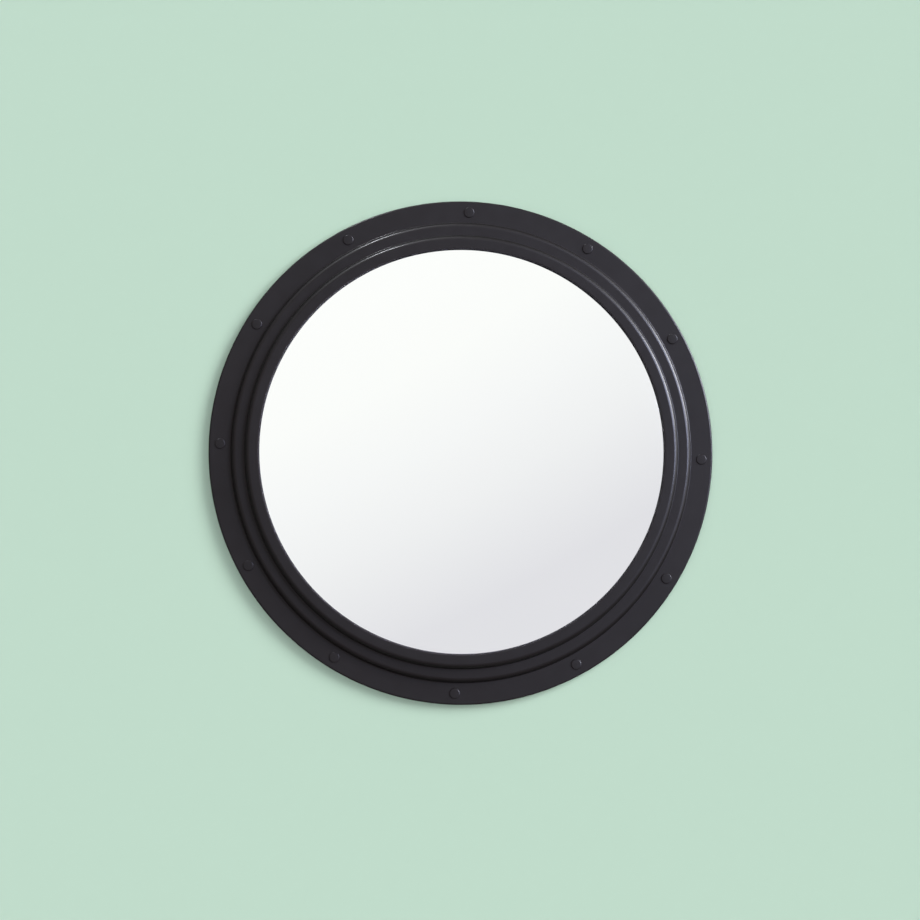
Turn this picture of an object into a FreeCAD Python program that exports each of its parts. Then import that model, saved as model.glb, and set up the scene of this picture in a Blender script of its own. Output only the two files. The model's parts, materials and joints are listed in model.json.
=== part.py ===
import FreeCAD, Part
import os
import re
import Sketcher

# A round convex wall mirror in a riveted, stepped steel ring. +Z is up and the mirror faces -Y.
# The wall is the plane Y = 0 and the origin is the mirror's centre on it. Each round piece is drawn
# with its height measured from the wall along its own z axis, and its Placement turns that z to -Y.
# Lengths are in millimetres, angles in degrees.

SIZES = {
    # the ring: one sheet pressed into a flange, a ledge and a face, each a step nearer the viewer
    "frame_diameter": 600,
    "frame_sheet": 1.2,
    "flange_width": 26.5,
    "ledge_width": 16.5,
    "face_width": 16.5,
    "flange_step": 8,
    "face_step": 9,
    "step_round": 6,
    "foot_round": 1,
    "rim_bend": 2,
    "lip_bend": 1.4,
    "lip_depth": 3,
    "skirt_gap": 4,
    # rivets through the flange and the back board
    "rivet_count": 12,
    "rivet_inset": 13.5,
    "rivet_head_diameter": 12.5,
    "rivet_head_height": 1.2,
    "rivet_head_round": 0.9,
    "rivet_shank_diameter": 5,
    "rivet_clearance": 0.1,
    "rivet_tail_diameter": 8,
    "rivet_tail_height": 2,
    "washer_diameter": 12,
    "washer_thickness": 1,
    # glass and what holds its edge
    "glass_thickness": 3,
    "glass_bow_radius": 1500,
    "glass_edge_gap": 0.3,
    "seat_gap": 0.05,
    "gasket_thickness": 1,
    "gasket_wall": 1.2,
    "gasket_back_leg": 6,
    "gasket_setback": 0.4,
    "gasket_gap": 0.5,
    "foam_thickness": 3,
    "foam_gap": 0.5,
    "support_width": 30,
    "board_thickness": 6,
    "board_edge_gap": 2,
    # wood screws
    "screw_shank_diameter": 3.5,
    "screw_head_diameter": 7,
    "screw_head_height": 2,
    "screw_length": 12,
    "pilot_clearance": 0.05,
    "plate_hole_clearance": 0.25,
    "screw_head_round": 0.8,
    "screw_recess": 4,
    "screw_recess_width": 0.9,
    "screw_recess_depth": 1.1,
    "screw_point": 3,
    "support_screw_count": 6,
    # rubber bumpers between the board and the wall
    "wall_gap": 6,
    "bumper_diameter": 20,
    "bumper_taper": 1.5,
    "bumper_seat": 3,
    "bumper_edge_round": 1,
    "bumper_bore_clearance": 0.8,
    # D-ring hangers
    "hanger_angle": 30,
    "plate_width": 14,
    "plate_thickness": 1.6,
    "plate_end": 7,
    "plate_corner": 3,
    "hanger_screw_spacing": 20,
    "knuckle_rise": 10,
    "knuckle_radius": 2.2,
    "knuckle_board_gap": 0.1,
    "ring_wire_radius": 1.25,
    "ring_running_gap": 0.08,
    "ring_inside_corner": 1,
    "ring_side": 6.5,
    "ring_lean": 2,
}

# Places that follow from the sizes. Radii are from the mirror's axis, heights from the wall.
PLACES = {
    "outer_radius": "frame_diameter / 2",
    "step_radius": "outer_radius - flange_width",
    "wall_radius": "step_radius - ledge_width",
    "lip_radius": "wall_radius - face_width",
    "board_back": "wall_gap",
    "board_front": "board_back + board_thickness",
    "flange_front": "board_front + frame_sheet",
    "ledge_front": "flange_front + flange_step",
    "face_front": "ledge_front + face_step",
    "lip_end": "face_front - lip_depth",
    # a rounding is limited by the wall that it is on
    "flange_step_round": "min(step_round; flange_step - foot_round - 0.2)",
    "face_step_round": "min(step_round; face_step - foot_round - 0.2; face_width - lip_bend - 0.2)",
    "rivet_radius": "outer_radius - rivet_inset",
    "rivet_hole_diameter": "rivet_shank_diameter + 2 * rivet_clearance",
    "washer_back": "board_back - washer_thickness",
    "tail_back": "washer_back - rivet_tail_height",
    "board_radius": "outer_radius - frame_sheet - board_edge_gap",
    "gasket_outer": "wall_radius - frame_sheet - gasket_gap",
    "gasket_inner": "lip_radius + gasket_setback",
    "gasket_slot": "gasket_outer - gasket_wall",
    "gasket_leg_end": "glass_radius - gasket_back_leg",
    "glass_radius": "gasket_slot - glass_edge_gap",
    "glass_front_at_lip": "lip_end - gasket_thickness - seat_gap",
    "glass_back_radius": "glass_bow_radius - glass_thickness",
    "bow_centre": "glass_front_at_lip - sqrt(glass_bow_radius^2 - lip_radius^2)",
    "support_outer": "gasket_leg_end - foam_gap",
    "support_inner": "support_outer - support_width",
    "support_middle": "support_outer - support_width / 2",
    "pilot_diameter": "screw_shank_diameter + 2 * pilot_clearance",
    "plate_hole_diameter": "screw_shank_diameter + 2 * plate_hole_clearance",
    "bumper_hole_diameter": "screw_shank_diameter + 2 * plate_hole_clearance",
    "bumper_bore_diameter": "screw_head_diameter + 2 * bumper_bore_clearance",
    "bumper_reach": "support_middle * cos(45)",
    "hanger_reach": "support_middle * cos(hanger_angle)",
    "hanger_rise": "support_middle * sin(hanger_angle)",
    "upper_screw_rise": "hanger_rise + hanger_screw_spacing / 2",
    "lower_screw_rise": "hanger_rise - hanger_screw_spacing / 2",
    "plate_back": "board_back - plate_thickness",
    "knuckle_back": "board_back - knuckle_board_gap - knuckle_radius",
    "bar_rise": "upper_screw_rise + knuckle_rise",
    "plate_low_end": "-hanger_screw_spacing / 2 - plate_end",
    "plate_high_end": "hanger_screw_spacing / 2 + knuckle_rise",
    "bar_bore_radius": "ring_wire_radius + ring_running_gap",
    "ring_corner": "ring_wire_radius + ring_inside_corner",
    "ring_half_width": "plate_width / 2 + ring_corner",
    "ring_shoulder": "ring_corner + ring_side",
}


def formula(text):
    """Write out a formula's names as spreadsheet cells, following each place down to the sizes."""
    def written_out(match):
        name = match.group()
        if name in PLACES:
            return "(" + formula(PLACES[name]) + ")"
        return "sizes." + name if name in SIZES else name
    return re.sub(r"[a-z_]+", written_out, text)


def glass_front_at(radius):
    """The height of the glass's front surface at a radius."""
    return f"bow_centre + sqrt(glass_bow_radius^2 - ({radius})^2)"


def glass_back_at(radius):
    """The height of the glass's back surface at a radius."""
    return f"bow_centre + sqrt(glass_back_radius^2 - ({radius})^2)"


doc = FreeCAD.newDocument("convex_mirror")
sheet = doc.addObject("Spreadsheet::Sheet", "sizes")
for row, (alias, number) in enumerate(SIZES.items(), start=1):
    sheet.set(f"A{row}", alias)
    sheet.set(f"B{row}", str(number))
    sheet.setAlias(f"B{row}", alias)
doc.recompute()

sub_parts = []
FACING_VIEWER = FreeCAD.Rotation(FreeCAD.Vector(1, 0, 0), 90)


def value(text):
    """What a formula comes to with the sizes as they are."""
    return float(sheet.evalExpression(formula(text)))


def bind(item, path, text):
    item.setExpression(path, formula(text))


def seat(item, across="0", wall_distance="0", up="0"):
    """Turn a sub-part to face the viewer, and place it across, away from the wall and up."""
    item.Placement = FreeCAD.Placement(FreeCAD.Vector(0, 0, 0), FACING_VIEWER)
    bind(item, "Placement.Base.x", across)
    bind(item, "Placement.Base.y", f"-({wall_distance})")
    bind(item, "Placement.Base.z", up)
    sub_parts.append(item)


def new_body(label):
    body = doc.addObject("PartDesign::Body", label)
    body.Label = label
    body.AllowCompound = True
    return body


def new_sketch(body, name, role):
    sketch = body.newObject("Sketcher::SketchObject", name)
    plane = next(item for item in body.Origin.OriginFeatures if item.Role == role)
    sketch.AttachmentSupport = [(plane, "")]
    sketch.MapMode = "FlatFace"
    return sketch


def hold_point(sketch, name, edge, end, place):
    """Hold one end of an edge at a place given by formulas for its two distances from the origin."""
    for axis, text in zip("XY", place):
        if text == "0":
            sketch.addConstraint(Sketcher.Constraint("PointOnObject", edge, end, -2 if axis == "X" else -1))
            continue
        number = sketch.addConstraint(
            Sketcher.Constraint("Distance" + axis, -1, 1, edge, end, value(text)))
        sketch.renameConstraint(number, name + axis)
        bind(sketch, f"Constraints.{name}{axis}", text)


def at(place):
    return FreeCAD.Vector(value(place[0]), value(place[1]), 0)


def outline(body, name, corners, role="XZ_Plane"):
    """Sketch a closed outline of straight sides through the corners."""
    sketch = new_sketch(body, name, role)
    count = len(corners)
    for side in range(count):
        sketch.addGeometry(Part.LineSegment(at(corners[side]), at(corners[(side + 1) % count])))
    for side in range(count):
        sketch.addConstraint(Sketcher.Constraint("Coincident", side, 2, (side + 1) % count, 1))
    for side, corner in enumerate(corners):
        hold_point(sketch, f"corner{side + 1}", side, 1, corner)
    return sketch


def turned(body, name, corners):
    """Turn an outline about the mirror's axis."""
    sketch = outline(body, name + "_outline", corners)
    solid = body.newObject("PartDesign::Revolution", name)
    solid.Profile = sketch
    solid.ReferenceAxis = (sketch, ["V_Axis"])
    solid.Angle = 360
    return solid


def turned_about(body, name, axis_at, corners, kind="PartDesign::Revolution"):
    """Turn an outline about a line parallel to the mirror's axis, at the distance axis_at beside it.
    Each corner is a distance from that line and a height, and the first and last lie on the line."""
    places = [(f"{axis_at} + ({distance})", height) for distance, height in corners]
    sketch = outline(body, name + "_outline", places)
    line = sketch.addGeometry(Part.LineSegment(at(places[0]), at(places[-1])), True)
    sketch.addConstraint(Sketcher.Constraint("Coincident", line, 1, 0, 1))
    sketch.addConstraint(Sketcher.Constraint("Coincident", line, 2, len(places) - 1, 1))
    solid = body.newObject(kind, name)
    solid.Profile = sketch
    solid.ReferenceAxis = (sketch, ["Axis0"])
    solid.Angle = 360
    return solid


def rounded(body, name, base, circles, radius):
    """Round the circular edges of base that have the radii and heights in circles."""
    doc.recompute()
    names = []
    for number, edge in enumerate(base.Shape.Edges, start=1):
        if not isinstance(edge.Curve, Part.Circle):
            continue
        for circle_radius, height in circles:
            near = abs(edge.Curve.Radius - value(circle_radius)) < 0.01
            if near and abs(edge.Curve.Center.z - value(height)) < 0.01:
                names.append(f"Edge{number}")
    fillet = body.newObject("PartDesign::Fillet", name)
    fillet.Base = (base, names)
    fillet.Radius = value(radius)
    bind(fillet, "Radius", radius)
    return fillet


def ring_of(body, name, originals, count, whole_body=False):
    """Repeat features, or the whole body, evenly round the mirror's axis."""
    pattern = body.newObject("PartDesign::PolarPattern", name)
    if whole_body:
        pattern.TransformMode = "Whole shape"
    else:
        pattern.Originals = originals
    axis = next(item for item in body.Origin.OriginFeatures if item.Role == "Z_Axis")
    pattern.Axis = (axis, [""])
    pattern.Angle = 360
    bind(pattern, "Occurrences", count)
    body.Tip = pattern
    return pattern


def both_sides(body, name, originals):
    """Repeat features on the other side of the mirror's vertical centre plane."""
    copy = body.newObject("PartDesign::Mirrored", name)
    copy.Originals = originals
    plane = next(item for item in body.Origin.OriginFeatures if item.Role == "YZ_Plane")
    copy.MirrorPlane = (plane, [""])
    body.Tip = copy
    return copy


def circle_sketch(body, name, role, spots, *diameters):
    """Sketch circles of each diameter at each spot."""
    sketch = new_sketch(body, name, role)
    circles = [(spot, diameter) for spot in spots for diameter in diameters]
    for number, (spot, diameter) in enumerate(circles):
        sketch.addGeometry(Part.Circle(at(spot), FreeCAD.Vector(0, 0, 1), value(diameter) / 2))
        hold_point(sketch, f"centre{number + 1}", number, 3, spot)
        size = sketch.addConstraint(Sketcher.Constraint("Diameter", number, value(diameter)))
        sketch.renameConstraint(size, f"circle{number + 1}")
        bind(sketch, f"Constraints.circle{number + 1}", diameter)
    return sketch


def drilled(body, name, spots, diameter):
    """Drill round holes right through, away from the wall, at the spots."""
    pocket = body.newObject("PartDesign::Pocket", name)
    pocket.Profile = circle_sketch(body, name + "_circles", "XY_Plane", spots, diameter)
    pocket.Type = "ThroughAll"
    pocket.Reversed = True
    return pocket


HANGER_SCREW_SPOTS = [("hanger_reach", "upper_screw_rise"), ("hanger_reach", "lower_screw_rise")]
BUMPER_SPOT = [("bumper_reach", "bumper_reach")]


def pilot_holes(body):
    """Drill for the hangers' screws on both sides, and for the screws of the bumpers."""
    hanger_holes = drilled(body, "hanger_pilots", HANGER_SCREW_SPOTS, "pilot_diameter")
    both_sides(body, "hanger_pilots_both", [hanger_holes])
    bumper_holes = drilled(body, "bumper_pilots", BUMPER_SPOT, "pilot_diameter")
    ring_of(body, "bumper_pilots_ring", [bumper_holes], "4")


def make_frame_ring():
    """Flange with its skirt, two steps, face and lip, all of one thickness of sheet."""
    body = new_body("frame_ring")
    front = [
        ("outer_radius", "skirt_gap"),
        ("outer_radius", "flange_front"),
        ("step_radius", "flange_front"),
        ("step_radius", "ledge_front"),
        ("wall_radius", "ledge_front"),
        ("wall_radius", "face_front"),
        ("lip_radius", "face_front"),
        ("lip_radius", "lip_end"),
    ]
    back = [
        ("lip_radius + frame_sheet", "lip_end"),
        ("lip_radius + frame_sheet", "face_front - frame_sheet"),
        ("wall_radius - frame_sheet", "face_front - frame_sheet"),
        ("wall_radius - frame_sheet", "ledge_front - frame_sheet"),
        ("step_radius - frame_sheet", "ledge_front - frame_sheet"),
        ("step_radius - frame_sheet", "flange_front - frame_sheet"),
        ("outer_radius - frame_sheet", "flange_front - frame_sheet"),
        ("outer_radius - frame_sheet", "skirt_gap"),
    ]
    ring = turned(body, "pressed_ring", front + back)
    bends = [
        ("rim_front", front[1], "rim_bend"),
        ("rim_back", back[6], "rim_bend - frame_sheet"),
        ("flange_foot_front", front[2], "foot_round"),
        ("flange_foot_back", back[5], "foot_round + frame_sheet"),
        ("ledge_top_front", front[3], "flange_step_round"),
        ("ledge_top_back", back[4], "flange_step_round - frame_sheet"),
        ("face_foot_front", front[4], "foot_round"),
        ("face_foot_back", back[3], "foot_round + frame_sheet"),
        ("face_top_front", front[5], "face_step_round"),
        ("face_top_back", back[2], "face_step_round - frame_sheet"),
        ("lip_front", front[6], "lip_bend"),
        ("lip_back", back[1], "lip_bend - frame_sheet"),
    ]
    for name, circle, radius in bends:
        ring = rounded(body, name, ring, [circle], radius)
    hole = drilled(body, "rivet_hole", [("rivet_radius", "0")], "rivet_hole_diameter")
    ring_of(body, "rivet_holes", [hole], "rivet_count")
    seat(body)


def make_rim_rivets():
    """Low round heads on the flange, and tails set against the washers behind the board."""
    body = new_body("rim_rivets")
    rivet = turned_about(body, "rivet", "rivet_radius", [
        ("0", "tail_back"),
        ("rivet_tail_diameter / 2", "tail_back"),
        ("rivet_tail_diameter / 2", "washer_back"),
        ("rivet_shank_diameter / 2", "washer_back"),
        ("rivet_shank_diameter / 2", "flange_front"),
        ("rivet_head_diameter / 2", "flange_front"),
        ("rivet_head_diameter / 2", "flange_front + rivet_head_height"),
        ("0", "flange_front + rivet_head_height"),
    ])
    head_edge = ("rivet_head_diameter / 2", "flange_front + rivet_head_height")
    tail_edge = ("rivet_tail_diameter / 2", "tail_back")
    rounded(body, "rivet_ends", rivet, [head_edge, tail_edge], "rivet_head_round")
    ring_of(body, "rivets", [], "rivet_count", whole_body=True)
    seat(body)


def make_rivet_washers():
    body = new_body("rivet_washers")
    washer = body.newObject("PartDesign::Pad", "washer")
    washer.Profile = circle_sketch(body, "washer_circles", "XY_Plane", [("rivet_radius", "0")],
                                   "washer_diameter", "rivet_hole_diameter")
    bind(washer, "Length", "washer_thickness")
    ring_of(body, "washers", [washer], "rivet_count")
    seat(body, wall_distance="washer_back")


def make_mirror_glass():
    """A disc bowed towards the viewer: two arcs about one centre on the mirror's axis."""
    body = new_body("mirror_glass")
    sketch = new_sketch(body, "glass_section", "XZ_Plane")
    edge_front = ("glass_radius", glass_front_at("glass_radius"))
    edge_back = ("glass_radius", glass_back_at("glass_radius"))
    apex_front = ("0", "bow_centre + glass_bow_radius")
    apex_back = ("0", "bow_centre + glass_back_radius")
    for start, end, radius in ((edge_front, apex_front, "glass_bow_radius"),
                               (edge_back, apex_back, "glass_back_radius")):
        middle_across = value("glass_radius") / 2
        middle_height = value("bow_centre") + (value(radius) ** 2 - middle_across ** 2) ** 0.5
        middle = FreeCAD.Vector(middle_across, middle_height, 0)
        sketch.addGeometry(Part.Arc(at(start), middle, at(end)))
    sketch.addGeometry(Part.LineSegment(at(apex_front), at(apex_back)))
    sketch.addGeometry(Part.LineSegment(at(edge_back), at(edge_front)))
    joins = [((0, 2), (2, 1)), ((2, 2), (1, 2)), ((1, 1), (3, 1)), ((3, 2), (0, 1))]
    for first, second in joins:
        sketch.addConstraint(Sketcher.Constraint("Coincident", *first, *second))
    for arc, end in ((0, 3), (0, 2), (1, 2)):
        sketch.addConstraint(Sketcher.Constraint("PointOnObject", arc, end, -2))
    sketch.addConstraint(Sketcher.Constraint("Coincident", 0, 3, 1, 3))
    sketch.addConstraint(Sketcher.Constraint("Vertical", 3))
    dimensions = [
        ("bow", Sketcher.Constraint("Radius", 0, value("glass_bow_radius")), "glass_bow_radius"),
        ("thickness", Sketcher.Constraint("Distance", 2, value("glass_thickness")), "glass_thickness"),
        ("reach", Sketcher.Constraint("DistanceX", -1, 1, 0, 1, value("glass_radius")), "glass_radius"),
        ("apex", Sketcher.Constraint("DistanceY", -1, 1, 0, 2, value(apex_front[1])), apex_front[1]),
    ]
    for name, constraint, text in dimensions:
        sketch.renameConstraint(sketch.addConstraint(constraint), name)
        bind(sketch, f"Constraints.{name}", text)
    glass = body.newObject("PartDesign::Revolution", "bowed_glass")
    glass.Profile = sketch
    glass.ReferenceAxis = (sketch, ["V_Axis"])
    glass.Angle = 360
    seat(body)


def make_edge_gasket():
    """A channel that wraps the glass's edge: under the lip, round the edge and behind it."""
    body = new_body("edge_gasket")
    turned(body, "channel", [
        ("gasket_inner", "lip_end"),
        ("lip_radius + frame_sheet + gasket_gap", "lip_end"),
        ("gasket_outer", f"{glass_front_at('gasket_outer')} + seat_gap + gasket_thickness"),
        ("gasket_outer", f"{glass_back_at('gasket_outer')} - seat_gap - gasket_thickness"),
        ("gasket_leg_end", f"{glass_back_at('gasket_leg_end')} - seat_gap - gasket_thickness"),
        ("gasket_leg_end", f"{glass_back_at('gasket_leg_end')} - seat_gap"),
        ("gasket_slot", f"{glass_back_at('gasket_slot')} - seat_gap"),
        ("gasket_slot", f"{glass_front_at('gasket_slot')} + seat_gap"),
        ("gasket_inner", f"{glass_front_at('gasket_inner')} + seat_gap"),
    ])
    seat(body)


def make_foam_ring():
    """A foam band that follows the slope of the glass's back."""
    body = new_body("foam_ring")
    inner_top = f"{glass_back_at('support_inner')} - seat_gap"
    outer_top = f"{glass_back_at('support_outer')} - seat_gap"
    turned(body, "foam_band", [
        ("support_outer", outer_top),
        ("support_inner", inner_top),
        ("support_inner", f"{inner_top} - foam_thickness"),
        ("support_outer", f"{outer_top} - foam_thickness"),
    ])
    seat(body)


def make_support_ring():
    """A ring on the board with its front bevelled to the slope of the glass."""
    body = new_body("support_ring")
    inner_top = f"{glass_back_at('support_inner')} - foam_thickness - 2 * seat_gap"
    outer_top = f"{glass_back_at('support_outer')} - foam_thickness - 2 * seat_gap"
    turned(body, "bevelled_ring", [
        ("support_outer", "board_front"),
        ("support_outer", outer_top),
        ("support_inner", inner_top),
        ("support_inner", "board_front"),
    ])
    screw_hole = drilled(body, "support_pilot", [("support_middle", "0")], "pilot_diameter")
    ring_of(body, "support_pilots", [screw_hole], "support_screw_count")
    pilot_holes(body)
    seat(body)


def make_back_board():
    """A disc drilled for the rivets and every screw, countersunk for the support ring's screws."""
    body = new_body("back_board")
    turned(body, "disc", [
        ("0", "board_back"),
        ("board_radius", "board_back"),
        ("board_radius", "board_front"),
        ("0", "board_front"),
    ])
    rivet_hole = drilled(body, "rivet_hole", [("rivet_radius", "0")], "rivet_hole_diameter")
    ring_of(body, "rivet_holes", [rivet_hole], "rivet_count")
    screw_hole = drilled(body, "support_hole", [("support_middle", "0")], "pilot_diameter")
    sink_radius = "screw_head_diameter / 2 + pilot_clearance"
    sink = turned_about(body, "countersink", "support_middle", [
        ("0", "board_back"),
        (sink_radius, "board_back"),
        ("0", f"board_back + {sink_radius}"),
    ], "PartDesign::Groove")
    ring_of(body, "support_holes", [screw_hole, sink], "support_screw_count")
    pilot_holes(body)
    seat(body)


def make_support_screws():
    """Countersunk screws from the back of the board into the support ring."""
    body = new_body("support_screws")
    turned_about(body, "screw", "support_middle", [
        ("0", "board_back"),
        ("screw_head_diameter / 2", "board_back"),
        ("screw_shank_diameter / 2", "board_back + (screw_head_diameter - screw_shank_diameter) / 2"),
        ("screw_shank_diameter / 2", "board_back + screw_length - screw_point"),
        ("0", "board_back + screw_length"),
    ])
    ring_of(body, "screws", [], "support_screw_count", whole_body=True)
    seat(body)


def repeated(body, name, role, spacing):
    """Repeat the whole body once more, at a spacing along one of its axes."""
    pattern = body.newObject("PartDesign::LinearPattern", name)
    pattern.TransformMode = "Whole shape"
    axis = next(item for item in body.Origin.OriginFeatures if item.Role == role)
    pattern.Direction = (axis, [""])
    bind(pattern, "Length", spacing)
    pattern.Occurrences = 2
    body.Tip = pattern


def make_pan_screws(label, head_back, across, up, spacing_across, spacing_up):
    """Four pan-head screws with crossed recesses, at the corners of a rectangle."""
    body = new_body(label)
    screw = turned(body, "screw", [
        ("0", "0"),
        ("screw_head_diameter / 2", "0"),
        ("screw_head_diameter / 2", "screw_head_height"),
        ("screw_shank_diameter / 2", "screw_head_height"),
        ("screw_shank_diameter / 2", "screw_head_height + screw_length - screw_point"),
        ("0", "screw_head_height + screw_length"),
    ])
    rounded(body, "head_edge", screw, [("screw_head_diameter / 2", "0")], "screw_head_round")
    near, far = "screw_recess_width / 2", "screw_recess / 2"
    quarter = [(far, near), (near, near), (near, far)]
    cross = quarter + [(f"-{y}", x) for x, y in quarter]
    cross += [(f"-{x}", f"-{y}") for x, y in quarter] + [(y, f"-{x}") for x, y in quarter]
    recess = body.newObject("PartDesign::Pocket", "recess")
    recess.Profile = outline(body, "recess_outline", cross, "XY_Plane")
    recess.Reversed = True
    bind(recess, "Length", "screw_recess_depth")
    repeated(body, "screws_across", "X_Axis", spacing_across)
    repeated(body, "screws_up", "Y_Axis", spacing_up)
    seat(body, across, head_back, up)


def make_bumper(label, across, up):
    """A tapered rubber foot with a stepped bore that sinks its screw."""
    body = new_body(label)
    foot = turned(body, "foot", [
        ("bumper_bore_diameter / 2", "0"),
        ("bumper_diameter / 2 - bumper_taper", "0"),
        ("bumper_diameter / 2", "wall_gap"),
        ("bumper_hole_diameter / 2", "wall_gap"),
        ("bumper_hole_diameter / 2", "bumper_seat"),
        ("bumper_bore_diameter / 2", "bumper_seat"),
    ])
    wall_edge = ("bumper_diameter / 2 - bumper_taper", "0")
    rounded(body, "foot_edge", foot, [wall_edge], "bumper_edge_round")
    seat(body, across, "0", up)


def make_hanger_plate(label, across):
    """A folded strap with two screw holes, rolled at its top into the ring's knuckle."""
    body = new_body(label)
    half = "plate_width / 2"
    strap = body.newObject("PartDesign::Pad", "strap")
    strap.Profile = outline(body, "strap_outline", [
        (f"-{half}", "plate_low_end"),
        (half, "plate_low_end"),
        (half, "plate_high_end"),
        (f"-{half}", "plate_high_end"),
    ], "XY_Plane")
    bind(strap, "Length", "plate_thickness")
    centre = ("plate_high_end", "knuckle_back - plate_back")
    knuckle = body.newObject("PartDesign::Pad", "knuckle")
    knuckle.Profile = circle_sketch(body, "knuckle_circle", "YZ_Plane", [centre], "2 * knuckle_radius")
    knuckle.SideType = "Symmetric"
    bind(knuckle, "Length", "plate_width")
    bore = body.newObject("PartDesign::Pocket", "bar_bore")
    bore.Profile = circle_sketch(body, "bore_circle", "YZ_Plane", [centre], "2 * bar_bore_radius")
    bore.SideType = "Symmetric"
    bind(bore, "Length", "2 * plate_width")
    holes = drilled(body, "screw_holes", [
        ("0", "hanger_screw_spacing / 2"),
        ("0", "-hanger_screw_spacing / 2"),
    ], "plate_hole_diameter")
    doc.recompute()
    corners = []
    for number, edge in enumerate(holes.Shape.Edges, start=1):
        upright = abs(edge.BoundBox.ZLength - value("plate_thickness")) < 0.01
        if upright and abs(edge.BoundBox.YMax - value("plate_low_end")) < 0.01:
            corners.append(f"Edge{number}")
    fillet = body.newObject("PartDesign::Fillet", "strap_corners")
    fillet.Base = (holes, corners)
    bind(fillet, "Radius", "min(plate_corner; plate_width / 2 - 0.2)")
    seat(body, across, "plate_back", "hanger_rise")


def make_d_ring(label, across):
    """A round wire bent to a D, with its straight bar in the knuckle and its bow up."""
    body = new_body(label)
    path = new_sketch(body, "wire_path", "XY_Plane")
    half, straight = "ring_half_width", "plate_width / 2"
    corners = [
        ("0", "0"), (straight, "0"), (half, "ring_corner"), (half, "ring_shoulder"),
        (f"-{half}", "ring_shoulder"), (f"-{half}", "ring_corner"), (f"-{straight}", "0"),
    ]
    bows = {1: (straight, "ring_corner", 315), 3: ("0", "ring_shoulder", 90),
            5: (f"-{straight}", "ring_corner", 225)}
    for side, start in enumerate(corners):
        end = corners[(side + 1) % len(corners)]
        if side in bows:
            centre_across, centre_up, turn = bows[side]
            centre = at((centre_across, centre_up))
            spoke = FreeCAD.Vector(centre.distanceToPoint(at(start)), 0, 0)
            middle = centre + FreeCAD.Rotation(FreeCAD.Vector(0, 0, 1), turn).multVec(spoke)
            path.addGeometry(Part.Arc(at(start), middle, at(end)))
        else:
            path.addGeometry(Part.LineSegment(at(start), at(end)))
    for side, start in enumerate(corners):
        following = (side + 1) % len(corners)
        meets_bow = following in bows
        join = "Tangent" if meets_bow else "Coincident"
        path.addConstraint(Sketcher.Constraint(join, side, 2, following, 1))
        if side not in bows:
            hold_point(path, f"start{side}", side, 1, start)
        if meets_bow:
            hold_point(path, f"end{side}", side, 2, corners[following])
    wire = body.newObject("PartDesign::AdditivePipe", "bent_wire")
    wire.Profile = circle_sketch(body, "wire_section", "YZ_Plane", [("0", "0")], "2 * ring_wire_radius")
    wire.Spine = (path, [])
    seat(body, across, "knuckle_back", "bar_rise")
    bind(body, "Placement.Rotation.Angle", "90 + ring_lean")


def save_sub_parts():
    """Check everything in the document, then write each sub-part's own file."""
    doc.recompute()
    for item in doc.Objects:
        if "Invalid" in item.State or "Error" in item.State:
            raise RuntimeError(f"{item.Name} failed: {item.State}")
    os.makedirs("parts", exist_ok=True)
    for item in sub_parts:
        if item.Shape.isNull() or not item.Shape.isValid():
            raise RuntimeError(f"{item.Label} has no valid shape")
        item.Shape.exportStep(f"parts/{item.Label}.step")
        print(f"{item.Label}: {len(item.Shape.Solids)} solids, {item.Shape.Volume:.0f} mm3")


make_frame_ring()
make_rim_rivets()
make_rivet_washers()
make_mirror_glass()
make_edge_gasket()
make_foam_ring()
make_support_ring()
make_back_board()
make_support_screws()
make_pan_screws("hanger_screws", "plate_back - screw_head_height", "-hanger_reach", "lower_screw_rise",
                "2 * hanger_reach", "hanger_screw_spacing")
make_pan_screws("bumper_screws", "bumper_seat - screw_head_height", "-bumper_reach", "-bumper_reach",
                "2 * bumper_reach", "2 * bumper_reach")
for side_name, side_sign in (("left", "-"), ("right", "")):
    make_bumper(f"bumper_top_{side_name}", f"{side_sign}bumper_reach", "bumper_reach")
    make_bumper(f"bumper_bottom_{side_name}", f"{side_sign}bumper_reach", "-bumper_reach")
    make_hanger_plate(f"hanger_plate_{side_name}", f"{side_sign}hanger_reach")
    make_d_ring(f"d_ring_{side_name}", f"{side_sign}hanger_reach")
save_sub_parts()
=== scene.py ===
import json
import math
import bmesh
import bpy
from mathutils import Matrix, Vector


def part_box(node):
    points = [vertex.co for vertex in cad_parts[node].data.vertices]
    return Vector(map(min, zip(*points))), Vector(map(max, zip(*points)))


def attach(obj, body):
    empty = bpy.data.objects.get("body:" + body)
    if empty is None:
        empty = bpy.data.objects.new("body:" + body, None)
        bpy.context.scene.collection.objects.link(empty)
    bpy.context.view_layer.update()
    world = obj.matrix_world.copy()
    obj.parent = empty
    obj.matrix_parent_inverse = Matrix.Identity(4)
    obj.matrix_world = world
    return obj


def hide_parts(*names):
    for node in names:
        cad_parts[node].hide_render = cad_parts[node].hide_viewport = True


# A round convex wall mirror in a riveted, stepped steel ring. The wall is the plane y = 0 and the
# mirror faces -y. Each piece is shaped flat on the bench, where z is the height from the wall, and
# is then hung, which takes bench (x, y, z) to (x, -z, y).

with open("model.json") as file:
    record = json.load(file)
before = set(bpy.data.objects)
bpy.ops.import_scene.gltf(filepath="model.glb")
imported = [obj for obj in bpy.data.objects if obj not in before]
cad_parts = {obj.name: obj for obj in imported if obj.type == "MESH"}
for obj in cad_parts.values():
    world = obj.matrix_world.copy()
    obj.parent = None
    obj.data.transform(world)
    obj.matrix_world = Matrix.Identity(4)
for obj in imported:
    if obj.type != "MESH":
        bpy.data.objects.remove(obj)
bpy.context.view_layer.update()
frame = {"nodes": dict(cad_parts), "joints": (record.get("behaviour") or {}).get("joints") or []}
print("frame loaded")

mm = 0.001
fine = 0.01 * mm


# Working with the mouse's tools: what is selected, and what they do to it.

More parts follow.
